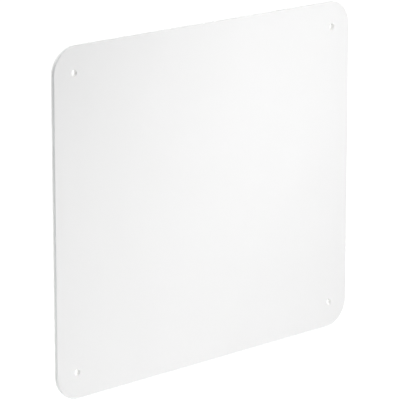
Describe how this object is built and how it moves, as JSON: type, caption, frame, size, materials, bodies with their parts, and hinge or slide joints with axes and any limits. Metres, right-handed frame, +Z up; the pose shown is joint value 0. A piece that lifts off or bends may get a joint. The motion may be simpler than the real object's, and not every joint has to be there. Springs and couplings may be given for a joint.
{
  "type": "wall mirror panel",
  "caption": "Flat rectangular safety mirror panel with rounded corners, screw holes near its corners, a rigid backing and a peel-off white protective film over the face.",
  "frame": {"origin": "centre of the screw hole pattern, in the plane of the rear face that lies on the wall", "axes": "+Z up, +Y out of the rear face towards the wall, so the mirror face looks along -Y, and +X to the right of a person who looks at the face"},
  "size_m": [0.6, 0.006, 0.5],
  "materials": {
    "film": "matte white",
    "acrylic": "clear polished",
    "mirror": "vacuum-coated mirror",
    "lacquer": "grey back lacquer",
    "adhesive": "milky adhesive sheet",
    "sealant": "satin neutral sealant",
    "foam_board": "fine satin grain",
    "sleeve": "natural nylon"
  },
  "bodies": {
    "panel": {"backing_board": "foam_board", "adhesive_sheet": "adhesive", "back_lacquer": "lacquer", "mirror_coat": "mirror", "edge_seal": "sealant", "acrylic_sheet": "acrylic", "sleeve_top_left": "sleeve", "sleeve_top_right": "sleeve", "sleeve_bottom_left": "sleeve", "sleeve_bottom_right": "sleeve", "film_main": "film"},
    "film_corner": {"film_flap": "film"}
  },
  "joints": [
    {"name": "film_peel", "type": "hinge", "parent": "panel", "child": "film_corner", "pos_m": [0.07071, -0.006, 0.07071], "axis": [0.7071, 0, -0.7071], "range_deg": [0, 150]}
  ]
}
